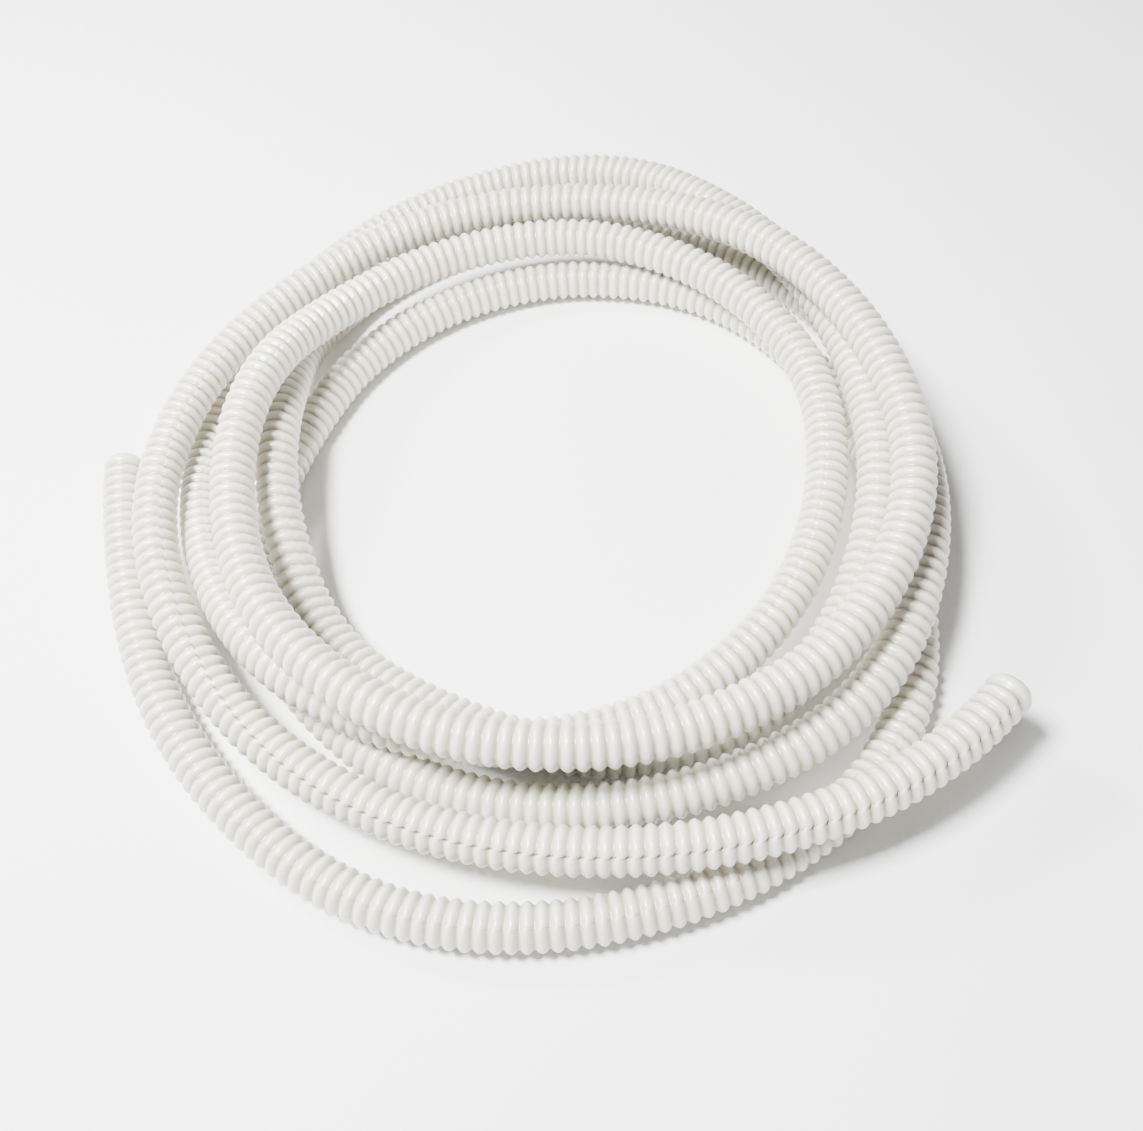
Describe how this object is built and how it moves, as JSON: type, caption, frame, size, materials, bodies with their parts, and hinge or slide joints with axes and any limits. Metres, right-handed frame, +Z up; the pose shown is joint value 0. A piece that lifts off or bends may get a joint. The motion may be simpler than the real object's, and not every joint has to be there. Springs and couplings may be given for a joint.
{
  "type": "vacuum hose",
  "caption": "Long white ribbed plastic vacuum hose lying in a loose floor coil, with both plain cut ends open.",
  "frame": {"origin": "on the floor that the hose lies on, under the middle of the coil's outline", "axes": "+Z up, +X towards the raised cut end, +Y to the back of the coil, where the low cut end points"},
  "size_m": [0.806, 0.8924, 0.1313],
  "materials": {
    "hose": "satin off-white plastic, slightly see-through"
  },
  "bodies": {
    "root": {"left_end": "hose", "left_tail": "hose", "right_end": "hose", "right_tail": "hose", "turn_1_back": "hose", "turn_1_front": "hose", "turn_1_left": "hose", "turn_1_right": "hose", "turn_2_back": "hose", "turn_2_front": "hose", "turn_2_left": "hose", "turn_2_right": "hose", "turn_3_back": "hose", "turn_3_front": "hose", "turn_3_left": "hose", "turn_3_right": "hose", "turn_4_back": "hose", "turn_4_front": "hose", "turn_4_left": "hose", "turn_4_right": "hose", "turn_5_back": "hose", "turn_5_front": "hose", "turn_5_left": "hose", "turn_5_right": "hose", "turn_6_front": "hose"}
  },
  "joints": []
}
